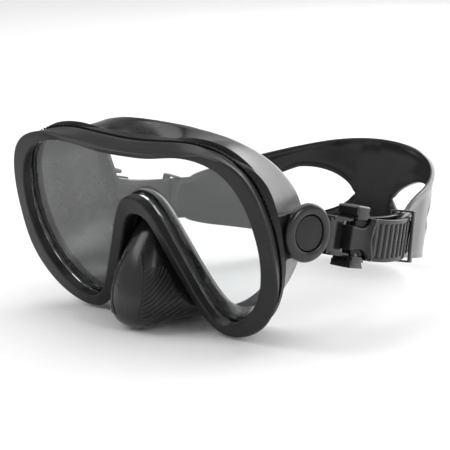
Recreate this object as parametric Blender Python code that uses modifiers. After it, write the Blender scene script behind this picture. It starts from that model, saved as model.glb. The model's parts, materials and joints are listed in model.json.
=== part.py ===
"""Single-window diving mask with a soft skirt, nose pocket and swivelling strap buckles.

Metres, +Z up. The wearer looks along -Y, so +X is the wearer's left. The origin is on the
surface the mask stands on, in the middle of its outline. Everything that is shaped to the
window is modelled in the window's own plane (x across, v up the glass, d behind it) under an
empty that leans with the glass.
"""

import math

import bmesh
import bpy
from mathutils import Matrix, Vector

MM = 0.001
COLLECTION = "diving_mask"

# where the window's centre is, and how far its top leans forward
WINDOW_HEIGHT = 43.7 * MM
WINDOW_BACK = -94.0 * MM
WINDOW_LEAN = math.radians(16.3)

# glass and the rings that hold it, as depths behind the front edge
GLASS_FRONT = 5.0 * MM
GLASS_THICK = 4.0 * MM
GLASS_OVERLAP = 1.6 * MM
FIT_GAP = 0.3 * MM
BEZEL_BACK = 8.4 * MM
FRAME_FRONT = 9.3 * MM
FRAME_BACK = 12.6 * MM
LIP_FRONT = 11.5 * MM
LIP_BACK = 14.0 * MM
SKIRT_THICK = 1.8 * MM
SAMPLES_PER_SPAN = 2

# swivel axis of the buckles (sideways through both lugs) and the droop of the straps
PIVOT_X = 78.5 * MM
PIVOT_BACK = 24.6 * MM
PIVOT_UP = 11.1 * MM
STRAP_DROOP = math.radians(13.0)
PIN_RADIUS = 2.6 * MM
HUB_RADIUS = 7.8 * MM
CAP_FACE = 6.0 * MM
CAP_TURN = math.radians(10.0)

# buckle, along its arm from the pivot
ROLLER_AT = 43.0 * MM
ROLLER_RADIUS = 2.8 * MM
ROLLER_LENGTH = 20.6 * MM
AXLE_RADIUS = 1.2 * MM
LATCH_AT = 30.0 * MM
BUTTON_AT = 36.4 * MM
BUTTON_TRAVEL = 1.2 * MM
UPPER_BUTTON_TOP = 15.4 * MM
LOWER_BUTTON_TOP = 14.3 * MM
CHEEK_INNER = 10.6 * MM
CHEEK_OUTER = 11.7 * MM
WAIST_INNER = 7.6 * MM
WAIST_OUTER = 9.2 * MM

# strap
STRAP_THICK = 2.4 * MM
STRAP_HALF = 10.3 * MM
WRAP_RADIUS = 4.4 * MM
PAD_HALF = 32.0 * MM
PAD_BAND = 11.5 * MM
HOLE_START = 13.5 * MM
HOLE_END = 71.0 * MM

# half outlines, from the middle of the top edge round to the middle of the nose notch,
# in millimetres across and up the glass; all have the same stations
WINDOW = [(0, 44), (17, 44.5), (34, 47.3), (48, 46.7), (60, 42.3), (69, 32.5), (73.5, 17),
          (74.3, 0), (69.7, -18), (60, -30.5), (50, -37.5), (42, -38.4), (35, -34),
          (28, -21), (19.5, -2.5), (12.5, 13), (6.5, 20.8), (0, 22.5)]
BEZEL_RIDGE = [(0, 46.8), (18, 47.3), (36, 49.5), (51, 50.6), (65, 47.6), (75.5, 39),
               (81, 22), (82.2, 2), (80, -18), (69.5, -34.5), (56, -43.2),
               (43, -45.4), (32, -39.5), (23.5, -25), (14.5, -7), (8.5, 7),
               (4.6, 11.6), (0, 13)]
BEZEL_REAR = [(0, 49.2), (18, 50.2), (36, 51.6), (50, 50), (62.5, 45), (73, 35.5),
              (78, 18.5), (79, 0), (75.5, -18.5), (66, -33.5), (54.5, -42.2),
              (42.8, -44.8), (32.5, -39.3), (24, -25), (15, -7), (9, 6.6),
              (4.8, 11.2), (0, 12.6)]
FRAME_REAR = [(0, 50.8), (18, 51.2), (36, 50.4), (50, 48.5), (64, 44.2), (76.5, 35.5),
              (80.3, 20), (79.8, 2), (76, -17.5), (66.8, -34), (55, -42.8),
              (42.8, -45.2), (32.5, -39.6), (24.5, -25), (15.8, -7), (9.6, 6.2),
              (5.2, 11.3), (0, 13.0)]
# the rim that meets the face: across, up and behind the glass
FACE_RIM = [(0, 54.2, 22), (20, 51.4, 26), (34, 46.8, 31), (46, 41.2, 35), (55, 33, 40),
            (61, 21.5, 45.5), (63.5, 9, 49), (63.5, -5, 49), (61, -19, 45), (55.5, -31, 40.5),
            (49.5, -39.5, 36), (42, -46, 32), (34, -50.3, 29), (26, -52, 27),
            (18, -52.8, 26), (11, -53, 25.5), (5, -53, 25.5), (0, -53, 25.5)]
# nose pocket: for each station of the notch, the way from behind the frame round the nose
# to the upper lip
NOSE_PATHS = {
    12: [(33, -37.5, 18), (32.5, -39, 18.5), (32, -40.5, 18.5), (32, -41.5, 19),
         (32.5, -43, 20), (33.2, -44.5, 22), (33.7, -47.5, 25.5)],
    13: [(23.6, -27, 18.5), (22, -29.5, 12), (21, -31.5, 8), (20.5, -35, 5),
         (21.5, -38.5, 8), (23.5, -42.5, 15), (25.5, -48, 22)],
    14: [(15, -10.5, 18.5), (13.6, -13.5, 8), (13.6, -20, -1), (14.8, -31, -8),
         (16, -36, -2), (17.5, -41, 9), (18.5, -47.5, 20)],
    15: [(10, 2, 19.5), (9.4, -2, 5), (11.2, -14, -10), (12.4, -31, -17.5),
         (12.6, -36, -12), (12.8, -40, 3), (12, -47.5, 17)],
    16: [(6, 7.5, 20), (6.2, 4, 5), (8.3, -12, -13), (9.5, -33, -22),
         (9.5, -39, -16.5), (9, -42.5, 0), (7, -48, 15.5)],
    17: [(0, 9, 20), (0, 6.5, 4.5), (0, -12, -13.5), (0, -34, -23),
         (0, -41, -17), (0, -44, 0), (0, -48.6, 15)],
}

# strap centre line in plan, from the roller outwards, in millimetres from the window's
# centre: across, back, up
TAIL_PATH = [(83.9, 74, -0.5), (84.4, 85, -2.8), (83.2, 97, -4.5), (80, 108, -5.2),
             (76, 118, -5.6)]
MAIN_PATH = [(75.4, 74, -0.5), (77.0, 85, -2.8), (76.6, 97, -4.5), (74.6, 108, -5.2),
             (71.6, 118, -5.6), (66.8, 133, -6.2), (62, 148, -6.8), (55, 163, -7.2),
             (44, 177, -7.6), (29.5, 187, -7.8), (14, 191.8, -8), (0, 193, -8)]

RUBBER_BLACK = (0.018, 0.018, 0.02, 1.0)
PLASTIC_BLACK = (0.022, 0.022, 0.024, 1.0)


def clear_scene():
    for obj in list(bpy.data.objects):
        bpy.data.objects.remove(obj, do_unlink=True)


def new_collection(name):
    collection = bpy.data.collections.new(name)
    bpy.context.scene.collection.children.link(collection)
    return collection


def material(name, color, roughness, metallic=0.0, alpha=1.0):
    found = bpy.data.materials.get(name)
    if found:
        return found
    mat = bpy.data.materials.new(name)
    mat.use_nodes = True
    shader = mat.node_tree.nodes["Principled BSDF"]
    shader.inputs["Base Color"].default_value = color
    shader.inputs["Roughness"].default_value = roughness
    shader.inputs["Metallic"].default_value = metallic
    shader.inputs["Alpha"].default_value = alpha
    return mat


def add_empty(name, matrix, collection):
    empty = bpy.data.objects.new(name, None)
    empty.empty_display_size = 10 * MM
    empty.matrix_world = matrix
    collection.objects.link(empty)
    return empty


def add_mesh(name, bm, mat, collection, parent=None):
    """A new object from a bmesh given in its parent's space."""
    bmesh.ops.recalc_face_normals(bm, faces=bm.faces)
    mesh = bpy.data.meshes.new(name)
    bm.to_mesh(mesh)
    bm.free()
    mesh.materials.append(mat)
    obj = bpy.data.objects.new(name, mesh)
    collection.objects.link(obj)
    obj.parent = parent
    return obj


def bake(obj, smooth_angle=35.0):
    """Replace an object's mesh by what its modifiers make of it."""
    bpy.context.view_layer.update()
    depsgraph = bpy.context.evaluated_depsgraph_get()
    mesh = bpy.data.meshes.new_from_object(obj.evaluated_get(depsgraph))
    mesh.name = obj.name
    obj.modifiers.clear()
    obj.data = mesh
    mesh.shade_smooth()
    mesh.set_sharp_from_angle(angle=math.radians(smooth_angle))
    return obj


def boolean(obj, other, operation):
    """Cut, join or intersect with another object, which is then removed."""
    modifier = obj.modifiers.new("boolean", "BOOLEAN")
    modifier.operation = operation
    modifier.object = other
    bake(obj)
    bpy.data.objects.remove(other, do_unlink=True)


def bevel(obj, width, segments=2, angle=40.0):
    modifier = obj.modifiers.new("bevel", "BEVEL")
    modifier.width = width
    modifier.segments = segments
    modifier.limit_method = "ANGLE"
    modifier.angle_limit = math.radians(angle)


def box_mesh(low, high):
    bm = bmesh.new()
    bmesh.ops.create_cube(bm, size=1.0)
    size = Vector(high) - Vector(low)
    middle = (Vector(high) + Vector(low)) / 2
    bmesh.ops.scale(bm, vec=size, verts=bm.verts)
    bmesh.ops.translate(bm, vec=middle, verts=bm.verts)
    return bm


def cylinder_mesh(radius, length, axis, center, segments=32, radius_end=None):
    bm = bmesh.new()
    end = radius if radius_end is None else radius_end
    turn = Vector((0, 0, 1)).rotation_difference(Vector(axis)).to_matrix().to_4x4()
    place = Matrix.Translation(Vector(center)) @ turn
    bmesh.ops.create_cone(bm, cap_ends=True, segments=segments, radius1=radius,
                          radius2=end, depth=length, matrix=place)
    return bm


def mirrored(obj, name, parent):
    """The same piece for the wearer's right side, in a frame mirrored across x = 0."""
    bpy.context.view_layer.update()
    twin = obj.copy()
    twin.name = name
    twin.data = obj.data.copy()
    twin.data.name = name
    flip = Matrix.Scale(-1, 4, Vector((1, 0, 0)))
    twin.data.transform(flip)
    twin.data.flip_normals()
    twin.parent = parent
    twin.matrix_local = flip @ obj.matrix_local @ flip
    obj.users_collection[0].objects.link(twin)
    return twin


def spline(points, samples, closed=False):
    """Catmull-Rom points through the given ones; an open run keeps its ends."""
    points = [Vector(p) for p in points]
    count = len(points)
    spans = count if closed else count - 1
    result = []
    for i in range(spans):
        if closed:
            p0, p1, p2, p3 = (points[(i + k) % count] for k in (-1, 0, 1, 2))
        else:
            p1, p2 = points[i], points[i + 1]
            p0 = points[i - 1] if i > 0 else 2 * p1 - p2
            p3 = points[i + 2] if i + 2 < count else 2 * p2 - p1
        for step in range(samples):
            t = step / samples
            result.append(0.5 * (2 * p1 + (p2 - p0) * t
                                 + (2 * p0 - 5 * p1 + 4 * p2 - p3) * t * t
                                 + (3 * p1 - p0 - 3 * p2 + p3) * t ** 3))
    if not closed:
        result.append(points[-1])
    return result


def full_loop(half, samples=SAMPLES_PER_SPAN):
    """Both halves of an outline as one smooth closed loop, in metres."""
    other = [(-x, v) for x, v in reversed(half[1:-1])]
    return [Vector((p.x, p.y)) * MM for p in spline(half + other, samples, closed=True)]


def offset_loop(loop, distance):
    """The loop moved outwards, away from the window, by a small distance."""
    count = len(loop)
    result = []
    for i, point in enumerate(loop):
        along = (loop[(i + 1) % count] - loop[i - 1]).normalized()
        result.append(point + Vector((-along.y, along.x)) * distance)
    return result


def ring_mesh(rails):
    """A closed ring through rails, each a loop in the window's plane with its depth."""
    bm = bmesh.new()
    rows = [[bm.verts.new((p.x, depth, p.y)) for p in loop] for loop, depth in rails]
    around = len(rows[0])
    for r, row in enumerate(rows):
        following = rows[(r + 1) % len(rows)]
        for i in range(around):
            j = (i + 1) % around
            bm.faces.new((row[i], row[j], following[j], following[i]))
    return bm


def glass_lens(collection, parent):
    loop = offset_loop(full_loop(WINDOW), GLASS_OVERLAP)
    curve = bpy.data.curves.new("lens", "CURVE")
    curve.dimensions = "2D"
    curve.fill_mode = "BOTH"
    curve.extrude = GLASS_THICK / 2
    outline = curve.splines.new("POLY")
    outline.points.add(len(loop) - 1)
    for point, p in zip(outline.points, loop):
        point.co = (p.x, p.y, 0, 1)
    outline.use_cyclic_u = True
    guide = bpy.data.objects.new("lens_outline", curve)
    collection.objects.link(guide)
    bpy.context.view_layer.update()
    depsgraph = bpy.context.evaluated_depsgraph_get()
    mesh = bpy.data.meshes.new_from_object(guide.evaluated_get(depsgraph))
    bpy.data.objects.remove(guide, do_unlink=True)
    bm = bmesh.new()
    bm.from_mesh(mesh)
    bmesh.ops.remove_doubles(bm, verts=bm.verts, dist=1e-6)
    stand_up = Matrix.Rotation(math.radians(90), 4, "X")
    middle = Vector((0, GLASS_FRONT + GLASS_THICK / 2, 0))
    bmesh.ops.transform(bm, matrix=Matrix.Translation(middle) @ stand_up, verts=bm.verts)
    glass = material("clear_glass", (0.86, 0.9, 0.9, 1.0), 0.02, alpha=0.25)
    return add_mesh("lens", bm, glass, collection, parent)


def front_bezel(collection, parent):
    window = full_loop(WINDOW)
    ridge = full_loop(BEZEL_RIDGE)
    rear = full_loop(BEZEL_REAR)
    pocket = offset_loop(window, GLASS_OVERLAP + FIT_GAP)
    rails = [(window, 0.5 * MM), (offset_loop(window, 0.7 * MM), 0.0),
             (offset_loop(ridge, -0.8 * MM), 0.9 * MM), (ridge, 1.9 * MM),
             (rear, BEZEL_BACK), (pocket, BEZEL_BACK),
             (pocket, GLASS_FRONT - FIT_GAP), (window, GLASS_FRONT - FIT_GAP)]
    mat = material("bezel_plastic", PLASTIC_BLACK, 0.45)
    return bake(add_mesh("front_bezel", ring_mesh(rails), mat, collection, parent))


def rear_frame(collection, parent, lug_faces):
    """Rear ring that clamps the skirt's bead behind the glass, with an ear at each side."""
    window = full_loop(WINDOW)
    rear = full_loop(FRAME_REAR)
    front = full_loop(BEZEL_REAR)
    lip = offset_loop(window, 2.4 * MM)
    seat = offset_loop(window, 3.0 * MM)
    inner = offset_loop(window, 4.4 * MM)
    rails = [(lip, LIP_FRONT), (seat, LIP_FRONT), (seat, FRAME_FRONT),
             (offset_loop(front, 0.6 * MM), FRAME_FRONT), (rear, FRAME_BACK - 0.6 * MM),
             (offset_loop(rear, -0.8 * MM), FRAME_BACK),
             (inner, LIP_BACK), (lip, LIP_BACK)]
    mat = material("frame_plastic", PLASTIC_BLACK, 0.5)
    ring = bake(add_mesh("rear_frame", ring_mesh(rails), mat, collection, parent))
    for side, pivot in lug_faces.items():
        ear = add_mesh("ear", ear_mesh(side), mat, collection)
        ear.matrix_world = pivot
        behind = add_mesh("behind", box_mesh((-0.2, FRAME_FRONT + FIT_GAP, -0.2),
                                             (0.2, 0.1, 0.2)), mat, collection, parent)
        boolean(ear, behind, "INTERSECT")
        boolean(ring, ear, "UNION")
    return ring


def ear_mesh(side):
    """The boss that a buckle lug is fixed behind, about the pivot; side is +1 or -1."""
    bm = box_mesh((-2.2 * MM, -18.0 * MM, -12.0 * MM), (-0.2 * MM, -9.6 * MM, 9.6 * MM))
    if side < 0:
        bmesh.ops.scale(bm, vec=(-1, 1, 1), verts=bm.verts)
    return bm


def skirt_rows():
    """Rows of the skirt's cage, from the glass to the face, each with every station."""
    outline = [Vector(p) for p in WINDOW]
    outwards = []
    for i, point in enumerate(outline):
        before = outline[i - 1] if i else Vector((-outline[1].x, outline[1].y))
        last = i == len(outline) - 1
        after = Vector((-outline[i - 1].x, outline[i - 1].y)) if last else outline[i + 1]
        along = (after - before).normalized()
        outwards.append(Vector((-along.y, along.x)))
    bead, front, behind = [], [], []
    for point, outward in zip(outline, outwards):
        for row, offset, depth in ((bead, 1.6, 10.2), (front, 0.4, 10.2), (behind, -0.5, 17.0)):
            place = point + outward * offset
            row.append(Vector((place.x, place.y, depth)))
    rim = [Vector(p) for p in FACE_RIM]
    middle_rows = []
    steps = len(NOSE_PATHS[17])
    for step in range(steps):
        share = (step + 1) / (steps + 1)
        row = []
        for i in range(len(outline)):
            if i in NOSE_PATHS:
                row.append(Vector(NOSE_PATHS[i][step]))
                continue
            point = behind[i].lerp(rim[i], share)
            flare = 0.8 * math.sin(math.pi * share)
            outward = (rim[i] - behind[i]).normalized()
            row.append(point + Vector((outward.x, outward.y, 0)) * flare)
        middle_rows.append(row)
    heart = Vector((0, -2, 0))
    lip = []
    for point in rim:
        inward = (heart - Vector((point.x, point.y, 0))).normalized()
        lip.append(point + inward * 8.0 + Vector((0, 0, -1.0)))
    return [bead, front, behind] + middle_rows + [rim, lip]


def skirt(collection, parent):
    rows = skirt_rows()
    bm = bmesh.new()
    grid = [[bm.verts.new((p.x * MM, p.z * MM, p.y * MM)) for p in row] for row in rows]
    for upper, lower in zip(grid, grid[1:]):
        for i in range(len(upper) - 1):
            bm.faces.new((upper[i], upper[i + 1], lower[i + 1], lower[i]))
    mat = material("skirt_silicone", RUBBER_BLACK, 0.5)
    obj = add_mesh("skirt", bm, mat, collection, parent)
    mirror = obj.modifiers.new("mirror", "MIRROR")
    mirror.use_axis = (True, False, False)
    mirror.merge_threshold = 0.0001
    mirror.use_clip = True
    smooth = obj.modifiers.new("smooth", "SUBSURF")
    smooth.levels = 1
    smooth.render_levels = 1
    shell = obj.modifiers.new("shell", "SOLIDIFY")
    shell.thickness = SKIRT_THICK
    shell.offset = 0.0
    return bake(obj)


def turned_piece(name, profile, mat, collection, parent, place, segments=48, ring=False):
    """A solid turned about its own z axis, from (radius, height) points down its outside."""
    bm = bmesh.new()
    verts = [bm.verts.new((radius, 0, height)) for radius, height in profile]
    for a, b in zip(verts, verts[1:]):
        bm.edges.new((a, b))
    if ring:
        bm.edges.new((verts[-1], verts[0]))
    piece = add_mesh(name, bm, mat, collection, parent)
    piece.matrix_local = place
    screw = piece.modifiers.new("screw", "SCREW")
    screw.steps = segments
    screw.render_steps = segments
    screw.use_merge_vertices = True
    screw.merge_threshold = 0.00002
    bake(piece)
    bm = bmesh.new()
    bm.from_mesh(piece.data)
    bmesh.ops.recalc_face_normals(bm, faces=bm.faces)
    bm.to_mesh(piece.data)
    bm.free()
    return piece


def pivot_pieces(collection, pivot):
    """Lug, pin, cap and cap insert of the wearer's left side, about the pivot."""
    plastic = material("bezel_plastic", PLASTIC_BLACK, 0.45)
    gloss = material("buckle_gloss", PLASTIC_BLACK, 0.2)
    satin = material("cap_satin", (0.05, 0.05, 0.052, 1.0), 0.5)
    steel = material("pin_steel", (0.55, 0.55, 0.57, 1.0), 0.3, metallic=1.0)
    lug = add_mesh("left_lug", box_mesh((-2.6 * MM, -9.3 * MM, -12.0 * MM),
                                        (-1.4 * MM, 9.0 * MM, 9.6 * MM)),
                   plastic, collection, pivot)
    bevel(lug, 0.3 * MM, 1)
    bake(lug)
    hole = add_mesh("hole", cylinder_mesh(PIN_RADIUS + 0.05 * MM, 10 * MM, (1, 0, 0),
                                          (-3 * MM, 0, 0)), plastic, collection, pivot)
    boolean(lug, hole, "DIFFERENCE")
    outwards = Matrix.Rotation(math.radians(90), 4, "Y")
    face = (Matrix.Translation((CAP_FACE, 0, 0)) @ Matrix.Rotation(-CAP_TURN, 4, "Z")
            @ outwards)
    pin = turned_piece("left_pivot_pin",
                       [(0, 3.2 * MM), (PIN_RADIUS, 3.2 * MM), (PIN_RADIUS, -2.6 * MM),
                        (0, -2.6 * MM)], steel, collection, pivot, outwards, 24)
    head = turned_piece("head", [(0, -2.0 * MM), (7.2 * MM, -2.0 * MM),
                                 (7.2 * MM, -3.1 * MM), (0, -3.1 * MM)],
                        steel, collection, pivot, face, 32)
    boolean(pin, head, "UNION")
    cap = turned_piece("left_cap",
                       [(7.6 * MM, -2.0 * MM), (8.7 * MM, -1.5 * MM), (8.9 * MM, -0.5 * MM),
                        (9.6 * MM, 0), (12.0 * MM, -0.1 * MM), (13.2 * MM, -0.6 * MM),
                        (14.0 * MM, -1.7 * MM), (13.9 * MM, -3.1 * MM),
                        (13.2 * MM, -3.6 * MM), (8.8 * MM, -3.6 * MM),
                        (7.6 * MM, -3.2 * MM)],
                       gloss, collection, pivot, face, ring=True)
    insert = turned_piece("left_cap_insert",
                          [(0, -1.0 * MM), (8.3 * MM, -1.0 * MM), (7.9 * MM, -1.7 * MM),
                           (0, -1.7 * MM)], satin, collection, pivot, face)
    return [lug, pin, cap, insert]


def buckle_body(collection, arm):
    """Arm plate, hub and two cheeks that hold the roller, latch and buttons."""
    gloss = material("buckle_gloss", PLASTIC_BLACK, 0.2)
    body = add_mesh("left_buckle_body",
                    cylinder_mesh(HUB_RADIUS, 1.7 * MM, (1, 0, 0), (0, 0, 0), 40),
                    gloss, collection, arm)
    blocks = [((-0.85, 4.0, -7.0), (0.85, 22.0, 7.0)),
              ((-1.0, 17.0, -8.6), (3.6, 27.7, 8.6)),
              ((-4.0, 20.0, WAIST_INNER / MM), (4.0, 35.0, WAIST_OUTER / MM)),
              ((-4.0, 20.0, -WAIST_OUTER / MM), (4.0, 35.0, -WAIST_INNER / MM)),
              ((-4.0, 33.4, WAIST_INNER / MM), (4.0, 35.0, CHEEK_OUTER / MM)),
              ((-4.0, 33.4, -CHEEK_OUTER / MM), (4.0, 35.0, -WAIST_INNER / MM)),
              ((-4.0, 33.4, CHEEK_INNER / MM), (4.0, 47.6, CHEEK_OUTER / MM)),
              ((-4.0, 33.4, -CHEEK_OUTER / MM), (4.0, 47.6, -CHEEK_INNER / MM))]
    for low, high in blocks:
        low = [value * MM for value in low]
        high = [value * MM for value in high]
        block = add_mesh("block", box_mesh(low, high), gloss, collection, arm)
        boolean(body, block, "UNION")
    holes = [((0, 0, 0), (1, 0, 0), PIN_RADIUS + 0.3 * MM, 12 * MM),
             ((0, ROLLER_AT, 0), (0, 0, 1), AXLE_RADIUS + 0.05 * MM, 40 * MM),
             ((2.2 * MM, LATCH_AT, 0), (0, 0, 1), 1.05 * MM, 40 * MM),
             ((-1.0 * MM, BUTTON_AT, 0), (0, 0, 1), 1.1 * MM, 40 * MM)]
    for center, axis, radius, length in holes:
        cutter = add_mesh("cutter", cylinder_mesh(radius, length, axis, center, 20),
                          gloss, collection, arm)
        boolean(body, cutter, "DIFFERENCE")
    return body


def roller_and_axle(collection, arm):
    gloss = material("buckle_gloss", PLASTIC_BLACK, 0.2)
    steel = material("pin_steel", (0.55, 0.55, 0.57, 1.0), 0.3, metallic=1.0)
    half = ROLLER_LENGTH / 2
    bore = AXLE_RADIUS + 0.08 * MM
    place = Matrix.Translation((0, ROLLER_AT, 0))
    roller = turned_piece("left_roller",
                          [(bore, half), (ROLLER_RADIUS, half), (ROLLER_RADIUS, -half),
                           (bore, -half)], gloss, collection, arm, place, 24, ring=True)
    axle = add_mesh("left_roller_axle",
                    cylinder_mesh(AXLE_RADIUS, 2 * CHEEK_OUTER, (0, 0, 1), (0, 0, 0), 20),
                    steel, collection, arm)
    axle.matrix_local = place
    bake(axle)
    return [roller, axle]


def latch_pieces(collection, arm):
    """The X-shaped latch that presses on the strap, and the pin it turns on."""
    satin = material("latch_satin", (0.03, 0.03, 0.032, 1.0), 0.4)
    steel = material("pin_steel", (0.55, 0.55, 0.57, 1.0), 0.3, metallic=1.0)
    half = [(-1.5, 5.8), (5, 5.0), (9.5, 5.2), (12.8, 7.0), (15, 9.8), (17.4, 10.3),
            (18.5, 8.6), (16.4, 4.8), (15.2, 0)]
    outline = [Vector(p) * MM for p in spline(half, 3)]
    loop = outline + [Vector((p.x, -p.y)) for p in reversed(outline[:-1])]
    bm = bmesh.new()
    rows = []
    for height in (6.9 * MM, 8.6 * MM):
        rows.append([bm.verts.new((height, p.x, p.y)) for p in loop])
    bm.faces.new(rows[0])
    bm.faces.new(rows[1])
    count = len(loop)
    for i in range(count):
        n = (i + 1) % count
        bm.faces.new((rows[0][i], rows[0][n], rows[1][n], rows[1][i]))
    latch = add_mesh("left_latch", bm, satin, collection, arm)
    latch.location = (0, LATCH_AT, 0)
    bevel(latch, 0.5 * MM, 2, 50)
    bake(latch)
    barrel = add_mesh("barrel", box_mesh((0.6 * MM, -1.5 * MM, -5.8 * MM),
                                         (7.4 * MM, 1.6 * MM, 5.8 * MM)),
                      satin, collection, arm)
    barrel.location = (0, LATCH_AT, 0)
    boolean(latch, barrel, "UNION")
    bore = add_mesh("bore", cylinder_mesh(1.05 * MM, 40 * MM, (0, 0, 1),
                                          (2.2 * MM, LATCH_AT, 0), 20),
                    satin, collection, arm)
    boolean(latch, bore, "DIFFERENCE")
    pin = add_mesh("left_latch_pin",
                   cylinder_mesh(1.0 * MM, 2 * WAIST_OUTER, (0, 0, 1), (0, 0, 0), 16),
                   steel, collection, arm)
    pin.location = (2.2 * MM, LATCH_AT, 0)
    bake(pin)
    return [latch, pin]


def button_piece(collection, arm, level, side, top):
    """A squeeze button that slides on its stem through one cheek."""
    rubber = material("button_grip", (0.035, 0.035, 0.037, 1.0), 0.35)
    low = CHEEK_OUTER + BUTTON_TRAVEL + 0.3 * MM
    bm = box_mesh((-4.0 * MM, -3.2 * MM, low), (7.8 * MM, 6.0 * MM, top))
    button = add_mesh("left_" + level + "_button", bm, rubber, collection, arm)
    button.location = (0, BUTTON_AT, 0)
    bevel(button, 0.3 * (top - low), 2)
    bake(button)
    apron = add_mesh("apron", box_mesh((6.3 * MM, -3.0 * MM, 8.6 * MM),
                                       (7.5 * MM, 5.4 * MM, low + 0.6 * MM)),
                     rubber, collection, arm)
    apron.location = (0, BUTTON_AT, 0)
    boolean(button, apron, "UNION")
    stem_end = CHEEK_OUTER - 0.6 * MM
    stem_top = low + 0.5 * MM
    stem = add_mesh("stem", cylinder_mesh(0.8 * MM, stem_top - stem_end, (0, 0, 1),
                                          (-1.0 * MM, BUTTON_AT,
                                           (stem_end + stem_top) / 2), 16),
                    rubber, collection, arm)
    boolean(button, stem, "UNION")
    if side < 0:
        flip = Matrix.Scale(-1, 4, Vector((0, 0, 1)))
        button.data.transform(flip)
        button.data.flip_normals()
    return button


def strap_path():
    """The strap's left half from the tail's end round the roller to the middle."""
    arm = (0, math.cos(STRAP_DROOP), -math.sin(STRAP_DROOP))
    middle = Vector((PIVOT_X, PIVOT_BACK, PIVOT_UP)) + Vector(arm) * ROLLER_AT
    wrap = []
    steps = 8
    for k in range(steps + 1):
        turn = math.pi * k / steps
        wrap.append(middle + Vector((math.cos(turn), -math.sin(turn) * arm[1],
                                     -math.sin(turn) * arm[2])) * WRAP_RADIUS)
    tail = [Vector(p) * MM for p in TAIL_PATH]
    main = [Vector(p) * MM for p in MAIN_PATH]
    outer = spline(list(reversed(tail)) + [wrap[0]], 2)
    inner = spline([wrap[-1]] + main, 3)
    return outer, wrap[1:-1], inner


def strap_half_width(point, on_main):
    """Half the strap's width at a point of its centre line."""
    if not on_main:
        return STRAP_HALF
    keeper_x, keeper_y = MAIN_PATH[4][0], MAIN_PATH[4][1]
    half = STRAP_HALF + 1.0 * MM * min(max((point.y / MM - 72) / 24, 0), 1)
    if point.y / MM > keeper_y:
        share = min(max(1 - abs(point.x) / MM / keeper_x, 0), 1)
        half += (PAD_HALF - half) * math.sin(share * math.pi / 2) ** 0.65
    return half


def strap(collection, parent):
    """One band: the back pad with a hole at each side, and both doubled ends."""
    outer, wrap, inner = strap_path()
    up = Vector((0, math.sin(STRAP_DROOP), math.cos(STRAP_DROOP)))
    bm = bmesh.new()
    rows = []
    marks = []
    to_middle = [0.0]
    for a, b in zip(reversed(inner[:-1]), reversed(inner)):
        to_middle.append(to_middle[-1] + (a - b).length)
    to_middle = list(reversed(to_middle))
    for group, on_main in ((outer, False), (wrap, False), (inner, True)):
        for i, point in enumerate(group):
            half = strap_half_width(point, on_main)
            along = -1.0
            if on_main:
                along = (to_middle[i] - HOLE_START) / (HOLE_END - HOLE_START)
            in_hole = 0 <= along <= 1
            gap = 0.34 * half
            if in_hole:
                rounding = min(max(along, 0.03) / 0.6, 1) ** 0.6 * max(1 - along ** 4, 0.1) ** 0.5
                gap = (half - PAD_BAND) * rounding
            rows.append([bm.verts.new(point + up * level)
                         for level in (-half, -gap, gap, half)])
            marks.append(in_hole)
    for i in range(len(rows) - 1):
        for k in range(3):
            if k == 1 and marks[i] and marks[i + 1]:
                continue
            bm.faces.new((rows[i][k], rows[i + 1][k], rows[i + 1][k + 1], rows[i][k + 1]))
    mat = material("strap_silicone", RUBBER_BLACK, 0.45)
    obj = add_mesh("strap", bm, mat, collection, parent)
    mirror = obj.modifiers.new("mirror", "MIRROR")
    mirror.use_axis = (True, False, False)
    mirror.merge_threshold = 0.0001
    shell = obj.modifiers.new("shell", "SOLIDIFY")
    shell.thickness = STRAP_THICK
    shell.offset = 0.0
    return bake(obj)


def keeper(collection, parent):
    """The loop that holds the strap's tail against the strap."""
    mat = material("keeper_silicone", RUBBER_BLACK, 0.4)
    middle = (Vector(TAIL_PATH[-2]) + Vector(MAIN_PATH[3])) / 2 * MM
    along = (Vector(TAIL_PATH[-1]) - Vector(TAIL_PATH[-3])
             + Vector(MAIN_PATH[4]) - Vector(MAIN_PATH[2]))
    heading = math.atan2(along.x, along.y)
    place = (Matrix.Translation(middle) @ Matrix.Rotation(-heading, 4, "Z")
             @ Matrix.Rotation(-STRAP_DROOP, 4, "X"))
    ring = add_mesh("left_keeper", box_mesh((-6.1 * MM, -2.3 * MM, -12.9 * MM),
                                            (6.1 * MM, 2.3 * MM, 12.9 * MM)),
                    mat, collection, parent)
    ring.matrix_local = place
    bevel(ring, 0.8 * MM, 2)
    bake(ring)
    hole = add_mesh("hole", box_mesh((-4.8 * MM, -4 * MM, -11.9 * MM),
                                     (4.8 * MM, 4 * MM, 11.9 * MM)), mat, collection, parent)
    hole.matrix_local = place
    boolean(ring, hole, "DIFFERENCE")
    return ring


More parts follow.
